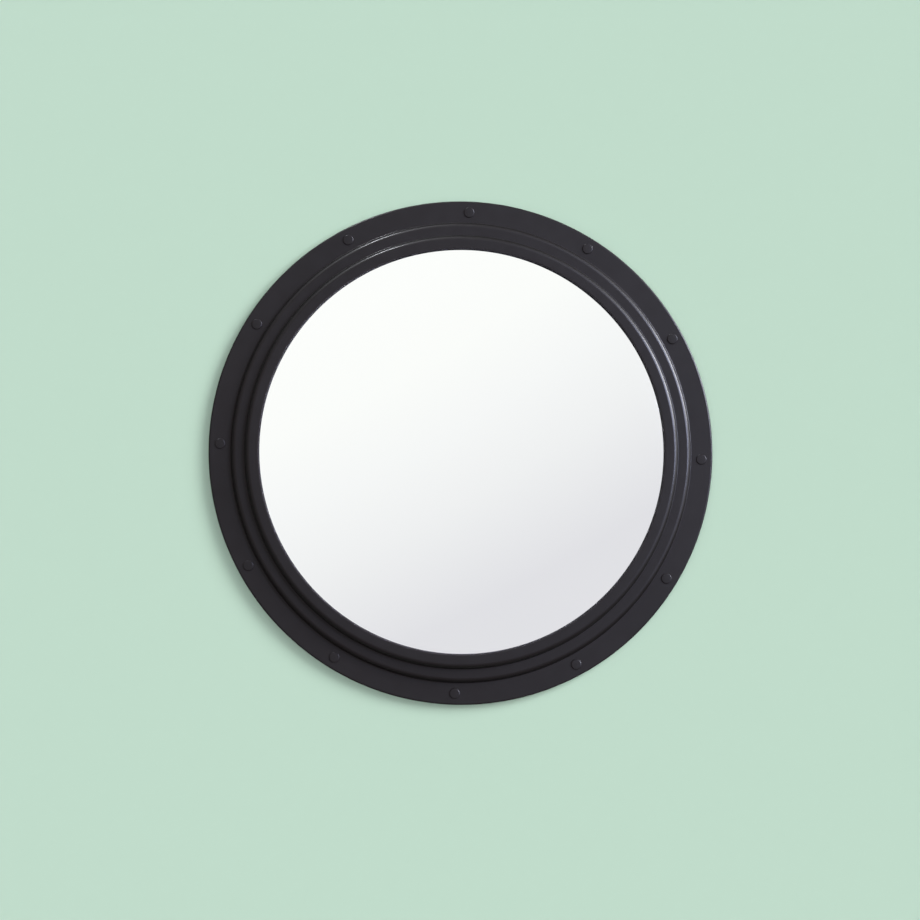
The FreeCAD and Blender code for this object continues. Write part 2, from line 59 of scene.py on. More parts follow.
def deselectAll():
    if bpy.context.object and bpy.context.object.mode != "OBJECT":
        bpy.ops.object.mode_set(mode="OBJECT")
    bpy.ops.object.select_all(action="DESELECT")


def takeUp(piece):
    deselectAll()
    piece.select_set(True)
    bpy.context.view_layer.objects.active = piece


def named(piece, name):
    piece.name = name
    piece.data.name = name
    return piece


def startEdit(piece, mode="EDGE"):
    takeUp(piece)
    bpy.ops.object.mode_set(mode="EDIT")
    bpy.ops.mesh.select_mode(type=mode)
    bpy.ops.mesh.select_all(action="DESELECT")
    return bmesh.from_edit_mesh(piece.data)


def endEdit():
    bpy.ops.object.mode_set(mode="OBJECT")


def selectEdges(piece, test):
    mesh = startEdit(piece, "EDGE")
    for edge in mesh.edges:
        edge.select_set(all(test(vert.co) for vert in edge.verts))
    bmesh.update_edit_mesh(piece.data)


def onLoop(radius, height):
    def test(point):
        return abs(math.hypot(point.x, point.y) - radius) < fine and abs(point.z - height) < fine
    return test


def roundLoops(piece, rounds):
    # each round is a loop's radius and height, and the rounding's radius and segments
    for radius, height, size, segments in rounds:
        selectEdges(piece, onLoop(radius, height))
        bpy.ops.mesh.bevel(offset=size, segments=segments, profile=0.5, affect="EDGES",
                           clamp_overlap=False)
        endEdit()


def fillLoop(piece, radius, height):
    selectEdges(piece, onLoop(radius, height))
    bpy.ops.mesh.edge_face_add()
    endEdit()


def closeSkin(piece):
    startEdit(piece, "VERT")
    bpy.ops.mesh.select_all(action="SELECT")
    bpy.ops.mesh.remove_doubles(threshold=fine / 10)
    bpy.ops.mesh.normals_make_consistent(inside=False)
    endEdit()


def moved(x, y, z):
    # draws what is selected out along a line
    bpy.ops.mesh.extrude_region_move(TRANSFORM_OT_translate={"value": (x, y, z)})


def turned(name, sides, loops):
    # a circle drawn out through the loops, each a radius and a height
    deselectAll()
    radius, height = loops[0]
    bpy.ops.mesh.primitive_circle_add(vertices=sides, radius=radius, location=(0, 0, height))
    piece = named(bpy.context.object, name)
    bpy.ops.object.transform_apply()
    startEdit(piece)
    bpy.ops.mesh.select_all(action="SELECT")
    for nextRadius, nextHeight in loops[1:]:
        moved(0, 0, nextHeight - height)
        share = nextRadius / radius
        bpy.ops.transform.resize(value=(share, share, 1), center_override=(0, 0, nextHeight))
        radius, height = nextRadius, nextHeight
    endEdit()
    closeSkin(piece)
    return piece


def applied(piece, kind, **settings):
    takeUp(piece)
    modifier = piece.modifiers.new(kind.lower(), kind)
    for key, setting in settings.items():
        setattr(modifier, key, setting)
    bpy.ops.object.modifier_apply(modifier=modifier.name)


def cut(piece, tool):
    applied(piece, "BOOLEAN", operation="DIFFERENCE", solver="EXACT", object=tool)
    bpy.data.objects.remove(tool)


def placed(piece, place=(0, 0, 0), turn=(0, 0, 0)):
    takeUp(piece)
    piece.location = place
    piece.rotation_euler = turn
    bpy.ops.object.transform_apply()
    return piece


def copied(piece, name):
    takeUp(piece)
    bpy.ops.object.duplicate(linked=False)
    return named(bpy.context.object, name)


def joined(pieces, name):
    takeUp(pieces[0])
    for piece in pieces[1:]:
        piece.select_set(True)
    bpy.ops.object.join()
    return named(bpy.context.object, name)


def smoothed(piece, sharpAngle=35):
    takeUp(piece)
    bpy.ops.object.shade_smooth_by_angle(angle=math.radians(sharpAngle))
    applied(piece, "WEIGHTED_NORMAL", weight=100, keep_sharp=True)


def hung(piece):
    return placed(piece, turn=(math.radians(90), 0, 0))


def dressed(piece, node, body, slot, *materials):
    for material in materials:
        piece.data.materials.append(material)
    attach(piece, body)
    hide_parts(node)


def spanOf(node):
    # a node's reach across and up, and its two heights from the wall
    low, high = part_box(node)
    return {"left": low.x, "right": high.x, "bottom": low.z, "top": high.z,
            "back": -high.y, "front": -low.y}


# Materials. Each reads Object coordinates, in metres.

def addNode(tree, kind, inputs=None, **settings):
    node = tree.nodes.new("ShaderNode" + kind)
    for key, setting in settings.items():
        setattr(node, key, setting)
    for key, source in (inputs or {}).items():
        if isinstance(source, bpy.types.NodeSocket):
            tree.links.new(source, node.inputs[key])
        else:
            node.inputs[key].default_value = source
    return node


def startMaterial(name, **sockets):
    material = bpy.data.materials.new(name)
    material.use_nodes = True
    tree = material.node_tree
    shader = tree.nodes["Principled BSDF"]
    for key, setting in sockets.items():
        shader.inputs[key.replace("_", " ")].default_value = setting
    place = addNode(tree, "TexCoord").outputs["Object"]
    return material, tree, shader, place


def grain(tree, place, scale, detail=3.0, stretch=(1, 1, 1), seed=0.0):
    spot = addNode(tree, "Mapping", {"Vector": place, "Scale": stretch, "Location": (seed, seed, seed)})
    noise = addNode(tree, "TexNoise", {"Vector": spot.outputs[0], "Scale": scale, "Detail": detail})
    return noise.outputs["Fac"]


def tones(tree, factor, *stops):
    # stops are a position and a colour each
    ramp = addNode(tree, "ValToRGB", {"Fac": factor})
    points = ramp.color_ramp.elements
    while len(points) < len(stops):
        points.new(0.5)
    for point, (position, colour) in zip(points, stops):
        point.position = position
        point.color = (*colour, 1)
    return ramp.outputs["Color"]


def spread(tree, factor, low, high):
    ranged = addNode(tree, "MapRange", {"Value": factor, "From Min": 0.3, "From Max": 0.7,
                                        "To Min": low, "To Max": high})
    return ranged.outputs["Result"]


def worked(tree, operation, first, second):
    return addNode(tree, "Math", {0: first, 1: second}, operation=operation).outputs[0]


def blended(tree, factor, first, second, mode="MIX"):
    mix = addNode(tree, "Mix", {"Factor": factor}, data_type="RGBA", blend_type=mode)
    for slot, source in ((6, first), (7, second)):
        if isinstance(source, bpy.types.NodeSocket):
            tree.links.new(source, mix.inputs[slot])
        else:
            mix.inputs[slot].default_value = (*source, 1)
    return mix.outputs[2]


def relief(tree, shader, height, depth, strength=1.0):
    # stacks on the relief that the shader already has
    normal = shader.inputs["Normal"]
    bump = addNode(tree, "Bump", {"Height": height, "Distance": depth, "Strength": strength})
    if normal.links:
        tree.links.new(normal.links[0].from_socket, bump.inputs["Normal"])
    tree.links.new(bump.outputs["Normal"], normal)


steelPaint = {
    "gloss": 0.075,
    "coat": 0.075,
    "coatRoughness": 0.14,
    "roughness": (0.44, 0.50),
    "orangePeel": 0.004 * mm,
}


def paintSteel(name, dark, light, seed):
    # satin black paint: a fine orange peel, and a slow drift of tone and gloss
    material, tree, shader, place = startMaterial(
        name, Specular_IOR_Level=steelPaint["gloss"], Coat_Weight=steelPaint["coat"],
        Coat_Roughness=steelPaint["coatRoughness"])
    drift = grain(tree, place, 7, 2, seed=seed)
    tree.links.new(tones(tree, drift, (0.3, dark), (0.7, light)), shader.inputs["Base Color"])
    tree.links.new(spread(tree, grain(tree, place, 60, 4, seed=seed), *steelPaint["roughness"]),
                   shader.inputs["Roughness"])
    relief(tree, shader, grain(tree, place, 700, 2, seed=seed), steelPaint["orangePeel"])
    return material


def paintLipSheen():
    # a duller black for the lip, which takes no highlight; its base is set lighter than the ring's paint,
    # as painted sheen standing in for the gloss it lacks
    material, tree, shader, place = startMaterial("dullLipPaintedSheen", Specular_IOR_Level=0.0, Roughness=0.9)
    wear = grain(tree, place, 60, 4, seed=8.0)
    # painted sheen: a lifted base colour, with a random drift of tone
    tree.links.new(tones(tree, wear, (0.3, (0.031, 0.028, 0.031)), (0.7, (0.037, 0.034, 0.037))),
                   shader.inputs["Base Color"])
    return material


def paintMirror():
    # silvered glass, with a breath of dust in its gloss
    material, tree, shader, place = startMaterial("mirrorSilver", Metallic=1.0)
    drift = grain(tree, place, 5, 2)
    tree.links.new(tones(tree, drift, (0.3, (0.958, 0.968, 0.963)), (0.7, (0.965, 0.972, 0.967))),
                   shader.inputs["Base Color"])
    dust = worked(tree, "MULTIPLY", grain(tree, place, 14, 5, seed=3.0), grain(tree, place, 160, 3))
    ranged = addNode(tree, "MapRange", {"Value": dust, "From Min": 0.1, "From Max": 0.5,
                                        "To Min": 0.012, "To Max": 0.04})
    tree.links.new(ranged.outputs["Result"], shader.inputs["Roughness"])
    return material


def paintBacking():
    # the grey paint that seals the silver from behind
    material, tree, shader, place = startMaterial("backingPaint", Roughness=0.6)
    cloud = grain(tree, place, 30, 4)
    tree.links.new(tones(tree, cloud, (0.3, (0.16, 0.17, 0.17)), (0.7, (0.21, 0.22, 0.22))),
                   shader.inputs["Base Color"])
    relief(tree, shader, grain(tree, place, 500, 2), 0.03 * mm)
    return material


def paintGlassEdge():
    # the green of the glass's own thickness, ground matt
    material, tree, shader, place = startMaterial("groundEdge", Roughness=0.35)
    cloud = grain(tree, place, 80, 3)
    tree.links.new(tones(tree, cloud, (0.3, (0.10, 0.24, 0.19)), (0.7, (0.17, 0.33, 0.27))),
                   shader.inputs["Base Color"])
    relief(tree, shader, grain(tree, place, 900, 2), 0.03 * mm)
    return material


def paintHardboard():
    # pressed brown fibre, with the mesh of its press screen in the back
    material, tree, shader, place = startMaterial("hardboard", Roughness=0.78, Specular_IOR_Level=0.25)
    cloud = grain(tree, place, 9, 5)
    fibre = grain(tree, place, 190, 8, seed=4.0)
    strands = grain(tree, place, 95, 7, stretch=(1, 1, 0.45), seed=9.0)
    base = tones(tree, cloud, (0.3, (0.165, 0.092, 0.049)), (0.5, (0.190, 0.108, 0.058)),
                 (0.72, (0.218, 0.128, 0.071)))
    flecks = tones(tree, worked(tree, "MULTIPLY", fibre, strands), (0.12, (0.62, 0.60, 0.58)),
                   (0.25, (1.0, 1.0, 1.0)), (0.40, (1.32, 1.28, 1.20)))
    tree.links.new(blended(tree, 0.75, base, flecks, "MULTIPLY"), shader.inputs["Base Color"])
    wires = []
    for direction in ("X", "Z"):
        wave = addNode(tree, "TexWave",
                       {"Vector": place, "Scale": 170.0, "Distortion": 0.6, "Detail": 2.0},
                       wave_type="BANDS", bands_direction=direction)
        wires.append(wave.outputs["Fac"])
    relief(tree, shader, worked(tree, "MAXIMUM", *wires), 0.10 * mm, 0.6)
    relief(tree, shader, fibre, 0.25 * mm, 0.8)
    return material


def paintFibreboard():
    material, tree, shader, place = startMaterial("fibreboard", Roughness=0.8, Specular_IOR_Level=0.3)
    speck = grain(tree, place, 420, 5)
    tree.links.new(tones(tree, speck, (0.3, (0.36, 0.25, 0.15)), (0.7, (0.50, 0.38, 0.26))),
                   shader.inputs["Base Color"])
    relief(tree, shader, speck, 0.12 * mm)
    return material


def paintFoam():
    material, tree, shader, place = startMaterial("foam", Roughness=0.95, Specular_IOR_Level=0.2)
    # the cells dent the foam and paint shade in their pits: darker towards each cell's middle, where the
    # bump sinks
    cellPitsAndShade = addNode(tree, "TexVoronoi", {"Vector": place, "Scale": 900.0}).outputs["Distance"]
    tree.links.new(tones(tree, cellPitsAndShade, (0.0, (0.50, 0.50, 0.47)), (0.6, (0.76, 0.76, 0.73))),
                   shader.inputs["Base Color"])
    relief(tree, shader, cellPitsAndShade, 0.3 * mm)
    return material


def paintRubber(name, dark, light, roughness):
    material, tree, shader, place = startMaterial(name, Specular_IOR_Level=0.35)
    bloom = grain(tree, place, 130, 5)
    tree.links.new(tones(tree, bloom, (0.32, dark), (0.68, light)), shader.inputs["Base Color"])
    tree.links.new(spread(tree, bloom, roughness - 0.08, roughness + 0.08), shader.inputs["Roughness"])
    relief(tree, shader, grain(tree, place, 1500, 3), 0.04 * mm)
    return material


def paintPlated(name, dark, light, roughness, stretch=(1, 1, 1), scratch=0.02):
    # plated steel: a cloudy tone, and fine marks drawn out where the stretch is under 1
    material, tree, shader, place = startMaterial(name, Metallic=1.0)
    cloud = grain(tree, place, 120, 4)
    marks = grain(tree, place, 1400, 4, stretch=stretch, seed=2.0)
    tree.links.new(tones(tree, cloud, (0.3, dark), (0.7, light)), shader.inputs["Base Color"])
    tree.links.new(spread(tree, marks, roughness - 0.07, roughness + 0.09), shader.inputs["Roughness"])
    relief(tree, shader, marks, scratch * mm)
    return material


blackPaint = paintSteel("satinBlackPaint", (0.0094, 0.0070, 0.0074), (0.0114, 0.0085, 0.0092), 1.0)
rivetPaint = paintSteel("satinBlackRivets", (0.0092, 0.0069, 0.0072), (0.0118, 0.0088, 0.0096), 5.0)
lipSheenPaint = paintLipSheen()
mirrorSilver = paintMirror()
backingPaint = paintBacking()
groundEdge = paintGlassEdge()
hardboard = paintHardboard()
fibreboard = paintFibreboard()
foamCells = paintFoam()
gasketRubber = paintRubber("gasketRubber", (0.012, 0.012, 0.012), (0.022, 0.022, 0.022), 0.7)
bumperRubber = paintRubber("bumperRubber", (0.016, 0.016, 0.017), (0.034, 0.034, 0.035), 0.72)
zincPlate = paintPlated("zincPlate", (0.48, 0.50, 0.54), (0.66, 0.67, 0.69), 0.34, scratch=0.03)
nickelPlate = paintPlated("nickelPlate", (0.58, 0.55, 0.50), (0.70, 0.67, 0.61), 0.27, (1, 1, 0.08), 0.015)
nickelWire = paintPlated("nickelWire", (0.60, 0.57, 0.52), (0.72, 0.69, 0.64), 0.20, (1, 0.5, 0.12), 0.010)
print("materials mixed")


# The pressed steel ring: a skirt, the flange, two steps and the lip, drawn as a skin and then
# given the sheet's thickness on its inner side.
ring = {
    "sides": 360,
    "sheet": 1.2 * mm,
    "flangeWidth": 26.5 * mm,
    "ledgeWidth": 16.5 * mm,
    "faceWidth": 16.5 * mm,
    "flangeStep": 8 * mm,
    "faceStep": 9 * mm,
    "lipDepth": 3 * mm,
    "rimBend": 2 * mm,
    "stepRound": 6 * mm,
    "footRound": 1 * mm,
    "lipBend": 1.4 * mm,
    "edgeBreak": 0.2 * mm,
}


def ringStations():
    span = spanOf("frame_ring")
    outer = span["right"]
    step = outer - ring["flangeWidth"]
    wall = step - ring["ledgeWidth"]
    lip = wall - ring["faceWidth"]
    faceFront = span["front"]
    ledgeFront = faceFront - ring["faceStep"]
    flangeFront = ledgeFront - ring["flangeStep"]
    return outer, step, wall, lip, span["back"], flangeFront, ledgeFront, faceFront


def dullAndSheenTheLip(piece, reach):
    # the lip's bend and its wall take the second material, the dull black with painted sheen
    mesh = startEdit(piece, "FACE")
    for face in mesh.faces:
        middle = face.calc_center_median()
        face.select_set(math.hypot(middle.x, middle.z) < reach)
    bmesh.update_edit_mesh(piece.data)
    piece.active_material_index = 1
    bpy.ops.object.material_slot_assign()
    endEdit()


def makeRing():
    # the radii, inwards, and then the heights, outwards from the wall
    outer, step, wall, lip, skirtEnd, flangeFront, ledgeFront, faceFront = ringStations()
    lipEnd = faceFront - ring["lipDepth"]
    piece = turned("steel_ring", ring["sides"], [
        (outer, skirtEnd),
        (outer, flangeFront),
        (step, flangeFront),
        (step, ledgeFront),
        (wall, ledgeFront),
        (wall, faceFront),
        (lip, faceFront),
        (lip, lipEnd),
    ])
    roundLoops(piece, [
        (outer, flangeFront, ring["rimBend"], 6),
        (step, flangeFront, ring["footRound"], 4),
        (step, ledgeFront, ring["stepRound"], 10),
        (wall, ledgeFront, ring["footRound"], 4),
        (wall, faceFront, ring["stepRound"], 10),
        (lip, faceFront, ring["lipBend"], 6),
    ])
    applied(piece, "SOLIDIFY", thickness=ring["sheet"], offset=-1, use_even_offset=True)
    roundLoops(piece, [
        (outer, skirtEnd, ring["edgeBreak"], 2),
        (outer - ring["sheet"], skirtEnd, ring["edgeBreak"], 2),
        (lip, lipEnd, ring["edgeBreak"], 2),
        (lip + ring["sheet"], lipEnd, ring["edgeBreak"], 2),
    ])
    smoothed(hung(piece))
    dressed(piece, "frame_ring", "mirror", "black_paint", blackPaint, lipSheenPaint)
    dullAndSheenTheLip(piece, lip + ring["lipBend"])


makeRing()
print("ring pressed")


# Rivets: low crowned heads on the flange, and tails rolled over behind the board.
rivet = {
    "count": 12,
    "sides": 48,
    "headDiameter": 12.5 * mm,
    "headRound": 0.9 * mm,
    "crown": 0.12 * mm,
    "crownShoulder": 0.5,
    "crownDrop": 0.25,
    "shankDiameter": 5 * mm,
    "tailDiameter": 8 * mm,
    "tailRound": 0.8 * mm,
    "rollDiameter": 3.2 * mm,
    "rollDepth": 0.9 * mm,
    "rollFloor": 0.6,
    "rollRound": 0.4 * mm,
    "washerDiameter": 12 * mm,
    "washerHole": 5.2 * mm,
    "washerEdge": 0.15 * mm,
}


def rivetCircle():
    return spanOf("rim_rivets")["right"] - rivet["headDiameter"] / 2


def roundTheRim(piece, name, count):
    # copies of a bench piece, evenly round the rivet circle and joined
    pieces = [copied(piece, f"{name}_{number + 1}") for number in range(count)]
    bpy.data.objects.remove(piece)
    for number, each in enumerate(pieces):
        turn = 2 * math.pi * number / count
        placed(each, (rivetCircle() * math.cos(turn), rivetCircle() * math.sin(turn), 0), (0, 0, turn))
    return joined(pieces, name)


def makeRivets():
    span = spanOf("rim_rivets")
    washerBack = spanOf("rivet_washers")["back"]
    flangeFront = ringStations()[5]
    head, shank = rivet["headDiameter"] / 2, rivet["shankDiameter"] / 2
    tail, roll = rivet["tailDiameter"] / 2, rivet["rollDiameter"] / 2
    headEdge = span["front"] - rivet["crown"]
    floorRadius, rollFloor = roll * rivet["rollFloor"], span["back"] + rivet["rollDepth"]
    piece = turned("rivet", rivet["sides"], [
        (floorRadius, rollFloor),
        (roll, span["back"]),
        (tail, span["back"]),
        (tail, washerBack),
        (shank, washerBack),
        (shank, flangeFront),
        (head, flangeFront),
        (head, headEdge),
        (head * rivet["crownShoulder"], span["front"] - rivet["crown"] * rivet["crownDrop"]),
        (0, span["front"]),
    ])
    fillLoop(piece, floorRadius, rollFloor)
    roundLoops(piece, [
        (roll, span["back"], rivet["rollRound"], 3),
        (tail, span["back"], rivet["tailRound"], 4),
        (head, headEdge, rivet["headRound"], 6),
    ])
    closeSkin(piece)
    piece = roundTheRim(piece, "rivets", rivet["count"])
    smoothed(hung(piece))
    dressed(piece, "rim_rivets", "mirror", "rivet_paint", rivetPaint)


def makeWashers():
    span = spanOf("rivet_washers")
    hole, outer = rivet["washerHole"] / 2, rivet["washerDiameter"] / 2
    back, front = span["back"], span["front"]
    piece = turned("washer", rivet["sides"], [
        (hole, back),
        (outer, back),
        (outer, front),
        (hole, front),
        (hole, back),
    ])
    roundLoops(piece, [(outer, back, rivet["washerEdge"], 2), (hole, back, rivet["washerEdge"], 2)])
    piece = roundTheRim(piece, "washers", rivet["count"])
    smoothed(hung(piece))
    dressed(piece, "rivet_washers", "mirror", "zinc_plate", zincPlate)


makeRivets()
makeWashers()
print("rivets set")


# The bowed glass: a skin drawn in from the rim along the bow, thickened backwards.
glass = {
    "sides": 256,
    "loops": 26,
    "bowRadius": 1500 * mm,
    "thickness": 3 * mm,
    "edgeBreak": 0.4 * mm,
    "sharpAngle": 30,
}


def makeGlass():
    span = spanOf("mirror_glass")
    rim = span["right"]
    bowCentre = span["front"] - glass["bowRadius"]

    def bow(radius):
        return bowCentre + math.sqrt(glass["bowRadius"] ** 2 - radius ** 2)

    loops = glass["loops"]
    radii = [rim * (1 - number / loops) for number in range(loops)] + [0]
    piece = turned("bowed_glass", glass["sides"], [(radius, bow(radius)) for radius in radii])
    dressed(piece, "mirror_glass", "mirror", "mirror", mirrorSilver, backingPaint, groundEdge)
    applied(piece, "SOLIDIFY", thickness=glass["thickness"], offset=-1, use_even_offset=True,
            material_offset=1, material_offset_rim=2)
    roundLoops(piece, [(rim, bow(rim), glass["edgeBreak"], 2)])
    smoothed(hung(piece), glass["sharpAngle"])


makeGlass()
print("glass bowed")


# The back board, with a countersink for each support screw.
board = {
    "sides": 180,
    "edgeBreak": 0.6 * mm,
    "sinkRadius": 3.55 * mm,
    "sinkLift": 0.05 * mm,
    "sinkSides": 40,
    "supportScrews": 6,
}


def supportSpots():
    reach = spanOf("support_screws")["right"] - screw["head"]
    count = board["supportScrews"]
    turns = [2 * math.pi * number / count for number in range(count)]
    return [(reach * math.cos(turn), reach * math.sin(turn)) for turn in turns]


def makeBoard():
    span = spanOf("back_board")
    rim, back, front = span["right"], span["back"], span["front"]
    piece = turned("board", board["sides"], [(rim, back), (rim, front)])
    fillLoop(piece, rim, back)
    fillLoop(piece, rim, front)
    closeSkin(piece)
    roundLoops(piece, [(rim, back, board["edgeBreak"], 2), (rim, front, board["edgeBreak"], 2)])
    lift = board["sinkLift"]
    sink = board["sinkRadius"] + lift
    for across, up in supportSpots():
        deselectAll()
        bpy.ops.mesh.primitive_cone_add(vertices=board["sinkSides"], radius1=sink, radius2=0, depth=sink,
                                        location=(across, up, back - lift + sink / 2))
        cut(piece, bpy.context.object)
    smoothed(hung(piece))
    dressed(piece, "back_board", "mirror", "hardboard", hardboard)


# Wood screws with crossed recesses. Each is shaped once at the bench's middle, head down.
screw = {
    "sides": 40,
    "shank": 1.75 * mm,
    "head": 3.5 * mm,
    "headHeight": 2 * mm,
    "headRound": 0.8 * mm,
    "headFlat": 0.55,
    "headDrop": 0.18 * mm,
    "underRound": 0.15 * mm,
    "length": 12 * mm,
    "point": 3 * mm,
    "recess": 4 * mm,
    "recessWidth": 0.9 * mm,
    "recessDepth": 1.1 * mm,
    "recessTaper": 0.6,
    "turns": (12, 71, 38, 5, 84, 27, 55, 63),
}


def cutRecess(piece, top):
    # two crossed slots that narrow towards their floor
    for turn in (0, 90):
        deselectAll()
        bpy.ops.mesh.primitive_cube_add(size=1, location=(0, 0, top + screw["recessDepth"] / 2 - fine))
        tool = bpy.context.object
        tool.scale = (screw["recess"], screw["recessWidth"], screw["recessDepth"] + 2 * fine)
        tool.rotation_euler.z = math.radians(turn)
        bpy.ops.object.transform_apply()
        mesh = startEdit(tool, "FACE")
        for face in mesh.faces:
            face.select_set(face.normal.z > 0.9)
        bmesh.update_edit_mesh(tool.data)
        taper = screw["recessTaper"]
        bpy.ops.transform.resize(value=(taper, taper, 1), center_override=(0, 0, top))
        endEdit()
        cut(piece, tool)


def makePanScrew():
    head, shank = screw["head"], screw["shank"]
    flat, drop = head * screw["headFlat"], screw["headDrop"]
    neck = screw["headHeight"]
    tip = neck + screw["length"]
    piece = turned("pan_screw", screw["sides"], [
        (flat, 0),
        (head, drop),
        (head, neck),
        (shank, neck),
        (shank, tip - screw["point"]),
        (0, tip),
    ])
    fillLoop(piece, flat, 0)
    roundLoops(piece, [(head, drop, screw["headRound"], 4), (head, neck, screw["underRound"], 2)])
    closeSkin(piece)
    cutRecess(piece, 0)
    return piece


def makeSunkScrew():
    head, shank = screw["head"], screw["shank"]
    piece = turned("sunk_screw", screw["sides"], [
        (head, 0),
        (shank, head - shank),
        (shank, screw["length"] - screw["point"]),
        (0, screw["length"]),
    ])
    fillLoop(piece, head, 0)
    closeSkin(piece)
    cutRecess(piece, 0)
    return piece


def driven(pattern, name, node, spots):
    # a copy of the screw at each spot, with its slots turned as they came to rest
    back = spanOf(node)["back"]
    pieces = []
    for number, (across, up) in enumerate(spots):
        piece = copied(pattern, f"{name}_{number + 1}")
        turn = math.radians(screw["turns"][number])
        pieces.append(placed(piece, (across, up, back), (0, 0, turn)))
    piece = joined(pieces, name)
    smoothed(hung(piece))
    dressed(piece, node, "mirror", "zinc_plate", zincPlate)


def cornerSpots(node):
    span = spanOf(node)
    inset = screw["head"]
    return [(across, up) for up in (span["bottom"] + inset, span["top"] - inset)
            for across in (span["left"] + inset, span["right"] - inset)]


def makeScrews():
    panScrew = makePanScrew()
    driven(panScrew, "hanger_wood_screws", "hanger_screws", cornerSpots("hanger_screws"))
    driven(panScrew, "bumper_wood_screws", "bumper_screws", cornerSpots("bumper_screws"))
    bpy.data.objects.remove(panScrew)
    sunkScrew = makeSunkScrew()
    driven(sunkScrew, "support_wood_screws", "support_screws", supportSpots())
    bpy.data.objects.remove(sunkScrew)


makeBoard()
makeScrews()
print("board cut and screws driven")


# Rubber feet that keep the ring off the wall, each with its screw sunk in a bore.
bumper = {
    "sides": 72,
    "taper": 1.5 * mm,
    "boreRadius": 4.3 * mm,
    "boreDepth": 3 * mm,
    "holeRadius": 2 * mm,
    "faceRound": 1 * mm,
    "boreRound": 0.4 * mm,
    "baseRound": 0.3 * mm,
}


def makeBumpers():
    first = spanOf("bumper_top_left")
    outer = (first["right"] - first["left"]) / 2
    face, bore, hole = outer - bumper["taper"], bumper["boreRadius"], bumper["holeRadius"]
    height, seatAt = first["front"], bumper["boreDepth"]
    pattern = turned("foot", bumper["sides"], [
        (bore, 0),
        (face, 0),
        (outer, height),
        (hole, height),
        (hole, seatAt),
        (bore, seatAt),
        (bore, 0),
    ])
    roundLoops(pattern, [
        (face, 0, bumper["faceRound"], 5),
        (bore, 0, bumper["boreRound"], 3),
        (outer, height, bumper["baseRound"], 2),
    ])
    for place in ("top_left", "top_right", "bottom_left", "bottom_right"):
        span = spanOf("bumper_" + place)
        piece = copied(pattern, "foot_" + place)
        across, up = (span["left"] + span["right"]) / 2, (span["bottom"] + span["top"]) / 2
        placed(piece, (across, up, 0))
        smoothed(hung(piece))
        dressed(piece, "bumper_" + place, "mirror", "bumper_rubber", bumperRubber)
    bpy.data.objects.remove(pattern)


makeBumpers()
print("bumpers moulded")


# Hangers: a strap folded double round the ring's bar, and a ring of bent wire.
hanger = {
    "strapWidth": 14 * mm,
    "strapSheet": 0.75 * mm,
    "strapCorner": 3 * mm,
    "shoulder": 5 * mm,
    "holeRadius": 2 * mm,
    "holeSides": 40,
    "holeSpacing": 20 * mm,
    "drillDepth": 6 * mm,
    "lowEnd": 7 * mm,
    "knuckleRadius": 1.8 * mm,
    "layerGap": 0.05 * mm,
    "edgeBreak": 0.1 * mm,
    "edgeAngle": 50,
    "wireRadius": 1.25 * mm,
    "wireSides": 20,
    "cornerRadius": 2.25 * mm,
    "ringSide": 6.5 * mm,
    "ringLean": 2,
}


def bent(steps, degrees, centre, axis):
    bpy.ops.mesh.spin(steps=steps, angle=math.radians(degrees), center=centre, axis=axis)


def makeStrap(side, joint):
    # the bench's y is up the wall, with the ring's bar at y = 0
    span = spanOf("hanger_plate_" + side)
    barHeight = -joint["pos_m"][1]
    lowEnd = span["bottom"] - joint["pos_m"][2]
    width, sheet, knuckle = hanger["strapWidth"], hanger["strapSheet"], hanger["knuckleRadius"]
    backLayer = spanOf("back_board")["back"] - sheet / 2
    frontLayer = backLayer - sheet - hanger["layerGap"]
    shoulder = -hanger["shoulder"]
    deselectAll()
    bpy.ops.mesh.primitive_plane_add(size=1, location=(0, (lowEnd + shoulder) / 2, backLayer))
    piece = named(bpy.context.object, "strap_" + side)
    piece.scale = (width, shoulder - lowEnd, 1)
    bpy.ops.object.transform_apply()
    selectEdges(piece, lambda point: abs(point.y - shoulder) < fine)
    moved(0, -shoulder, barHeight + knuckle - backLayer)
    bent(18, 270, (0, 0, barHeight), (1, 0, 0))
    turnRadius = frontLayer - barHeight
    bent(6, -90, (0, -knuckle - turnRadius, barHeight), (1, 0, 0))
    moved(0, lowEnd + knuckle + turnRadius, 0)
    endEdit()
    closeSkin(piece)
    mesh = startEdit(piece, "VERT")
    for vert in mesh.verts:
        vert.select_set(abs(vert.co.y - lowEnd) < fine)
    bmesh.update_edit_mesh(piece.data)
    bpy.ops.mesh.bevel(offset=hanger["strapCorner"], segments=6, affect="VERTICES", clamp_overlap=False)
    endEdit()
    applied(piece, "SOLIDIFY", thickness=sheet, offset=0)
    middle = lowEnd + hanger["lowEnd"] + hanger["holeSpacing"] / 2
    for along in (-1, 1):
        deselectAll()
        bpy.ops.mesh.primitive_cylinder_add(
            vertices=hanger["holeSides"], radius=hanger["holeRadius"], depth=hanger["drillDepth"],
            location=(0, middle + along * hanger["holeSpacing"] / 2, backLayer))
        cut(piece, bpy.context.object)
    applied(piece, "BEVEL", width=hanger["edgeBreak"], segments=2, limit_method="ANGLE",
            angle_limit=math.radians(hanger["edgeAngle"]))
    return piece


def makeWire(side):
    # a section at the bar's middle, drawn round the D and closed on itself
    corner, straight, half = hanger["cornerRadius"], hanger["strapWidth"] / 2, hanger["ringSide"]
    deselectAll()
    bpy.ops.mesh.primitive_circle_add(vertices=hanger["wireSides"], radius=hanger["wireRadius"],
                                      rotation=(0, math.radians(90), 0))
    piece = named(bpy.context.object, "wire_ring_" + side)
    bpy.ops.object.transform_apply()
    startEdit(piece)
    bpy.ops.mesh.select_all(action="SELECT")
    up = (0, 0, -1)
    moved(straight, 0, 0)
    bent(8, 90, (straight, corner, 0), up)
    moved(0, half, 0)
    bent(32, 180, (0, corner + half, 0), up)
    moved(0, -half, 0)
    bent(8, 90, (-straight, corner, 0), up)
    moved(straight, 0, 0)
    endEdit()
    closeSkin(piece)
    return piece


